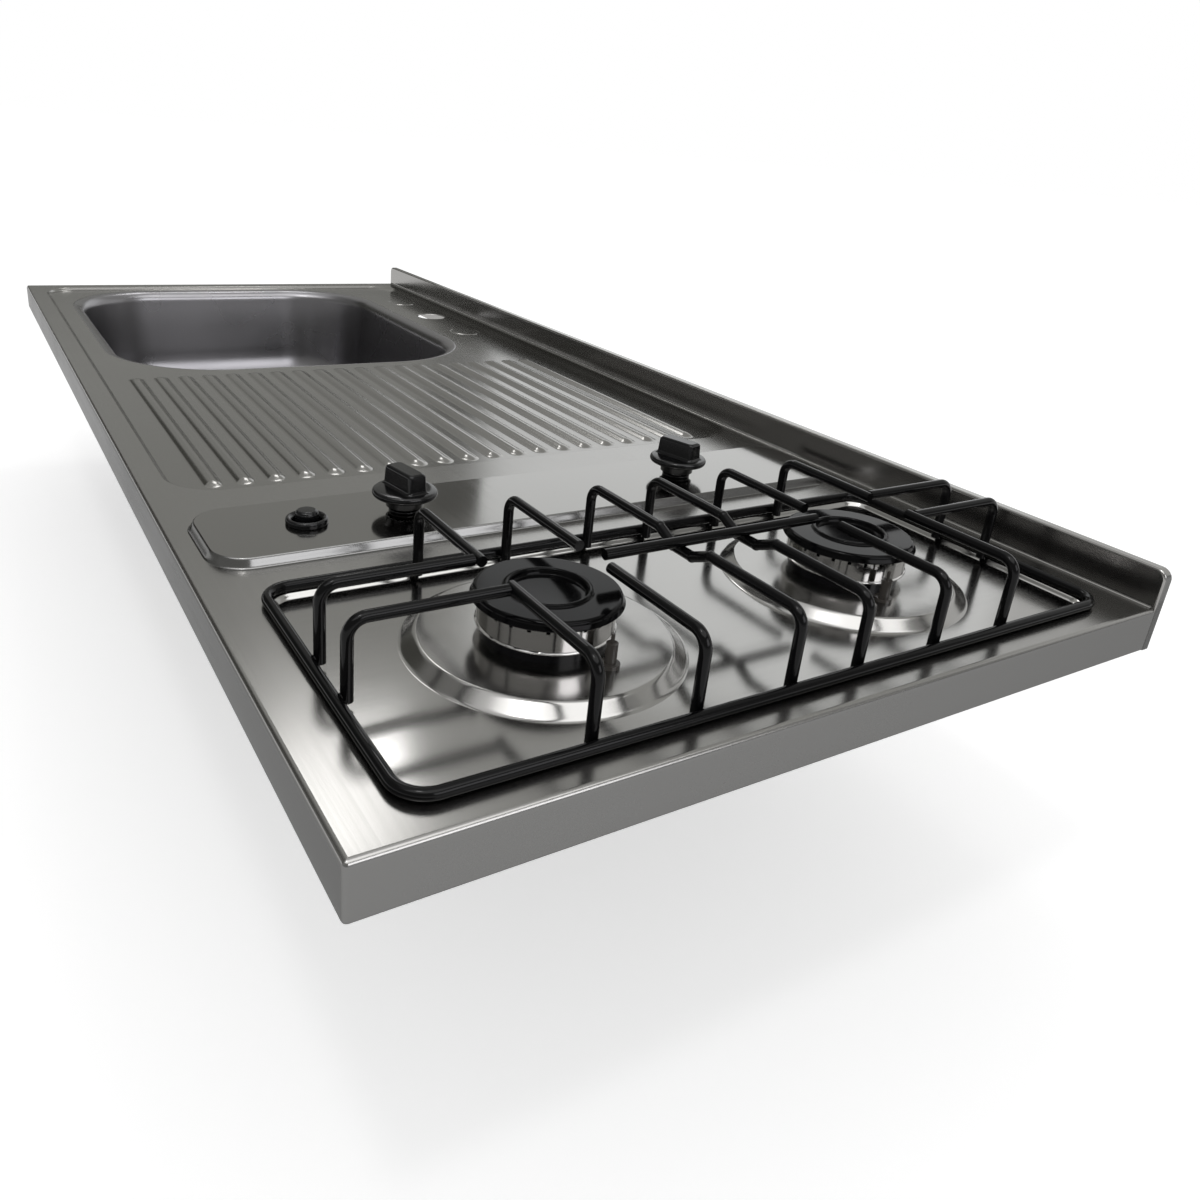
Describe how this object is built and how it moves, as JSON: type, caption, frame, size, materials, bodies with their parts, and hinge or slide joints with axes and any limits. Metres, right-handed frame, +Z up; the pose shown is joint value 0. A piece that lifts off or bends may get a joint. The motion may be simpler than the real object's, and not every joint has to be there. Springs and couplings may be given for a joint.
{
  "type": "kitchenette worktop with sink and gas hob",
  "caption": "Stainless steel kitchenette worktop with a sink bowl and ribbed drainer, a recessed gas hob with knobs, igniter and wire pan grate, and a low upstand at the back.",
  "frame": {"origin": "on the cabinet seat plane under the front edge, halfway along the worktop's length and midway across its front hem", "axes": "+X along the worktop to the hob end, +Y back to the wall, +Z up"},
  "size_m": [1.2, 0.52, 0.2697],
  "materials": {
    "steel_sheet": "satin stainless",
    "steel_plain": "plain galvanised",
    "steel_bright": "polished",
    "enamel_black": "gloss enamel",
    "cast_dark": "matt, dark",
    "alloy": "polished casting",
    "brass": "machined",
    "rubber": "matt",
    "pad": "matt felt-like",
    "knob_plastic": "gloss",
    "plastic_grey": "matt",
    "ceramic": "glazed ceramic, white",
    "lead": "silicone sleeve"
  },
  "bodies": {
    "worktop": {"worktop_sheet": "steel_sheet", "sink_bowl": "steel_sheet", "bowl_damping_pads": "pad", "drainer_stiffeners": "steel_plain", "fixing_brackets": "steel_plain", "strainer_body": "steel_bright", "waste_gasket": "rubber", "waste_locknut": "plastic_grey", "burner_tray": "steel_plain", "tray_studs": "steel_plain", "gas_manifold": "steel_bright", "gas_inlet": "brass", "gas_valve_front": "brass", "gas_valve_rear": "brass", "valve_spring_front": "steel_bright", "valve_spring_rear": "steel_bright", "burner_base_front": "cast_dark", "burner_base_rear": "cast_dark", "burner_nut_front": "steel_bright", "burner_nut_rear": "steel_bright", "injector_front": "brass", "injector_rear": "brass", "gas_pipe_front": "steel_bright", "gas_pipe_rear": "steel_bright", "spark_electrode_front": "ceramic", "spark_electrode_rear": "ceramic", "ignition_leads": "lead", "igniter_bezel": "knob_plastic", "igniter_nut": "plastic_grey", "igniter_body": "plastic_grey", "igniter_spring": "steel_bright"},
    "front_collar": {"valve_collar_front": "brass"},
    "front_knob": {"valve_stem_front": "steel_bright", "knob_front": "knob_plastic"},
    "front_head": {"burner_head_front": "alloy"},
    "front_cap": {"burner_cap_front": "enamel_black"},
    "rear_collar": {"valve_collar_rear": "brass"},
    "rear_knob": {"valve_stem_rear": "steel_bright", "knob_rear": "knob_plastic"},
    "rear_head": {"burner_head_rear": "alloy"},
    "rear_cap": {"burner_cap_rear": "enamel_black"},
    "igniter": {"igniter_button": "knob_plastic"},
    "basket": {"strainer_basket": "steel_bright"},
    "pan_grate": {"grate_frame": "enamel_black", "grate_cross_bars": "enamel_black", "grate_spine": "enamel_black", "grate_side_fingers": "enamel_black", "grate_end_fingers": "enamel_black"}
  },
  "joints": [
    {"name": "front_knob_push", "type": "slide", "parent": "worktop", "child": "front_collar", "axis": [0, 0, -1], "range_m": [0, 0.003], "stiffness_N_per_m": 1500, "springref_m": -0.003, "deforming": ["valve_spring_front"]},
    {"name": "front_knob_turn", "type": "hinge", "parent": "front_collar", "child": "front_knob", "pos_m": [0.314, 0.137, 0.0336], "axis": [0, 0, 1], "range_deg": [0, 180]},
    {"name": "rear_knob_push", "type": "slide", "parent": "worktop", "child": "rear_collar", "axis": [0, 0, -1], "range_m": [0, 0.003], "stiffness_N_per_m": 1500, "springref_m": -0.003, "deforming": ["valve_spring_rear"]},
    {"name": "rear_knob_turn", "type": "hinge", "parent": "rear_collar", "child": "rear_knob", "pos_m": [0.314, 0.359, 0.0336], "axis": [0, 0, 1], "range_deg": [0, 180]},
    {"name": "front_head_lift", "type": "slide", "parent": "worktop", "child": "front_head", "axis": [0, 0, 1], "range_m": [0, 0.004]},
    {"name": "front_cap_lift", "type": "slide", "parent": "front_head", "child": "front_cap", "axis": [0, 0, 1], "range_m": [0, 0.005]},
    {"name": "rear_head_lift", "type": "slide", "parent": "worktop", "child": "rear_head", "axis": [0, 0, 1], "range_m": [0, 0.004]},
    {"name": "rear_cap_lift", "type": "slide", "parent": "rear_head", "child": "rear_cap", "axis": [0, 0, 1], "range_m": [0, 0.005]},
    {"name": "igniter_push", "type": "slide", "parent": "worktop", "child": "igniter", "axis": [0, 0, -1], "range_m": [0, 0.0035], "stiffness_N_per_m": 900, "springref_m": -0.003, "deforming": ["igniter_spring"]},
    {"name": "basket_lift", "type": "slide", "parent": "worktop", "child": "basket", "axis": [0, 0, 1], "range_m": [0, 0.15]},
    {"name": "grate_lift", "type": "slide", "parent": "worktop", "child": "pan_grate", "axis": [0, 0, 1], "range_m": [0, 0.1]}
  ]
}
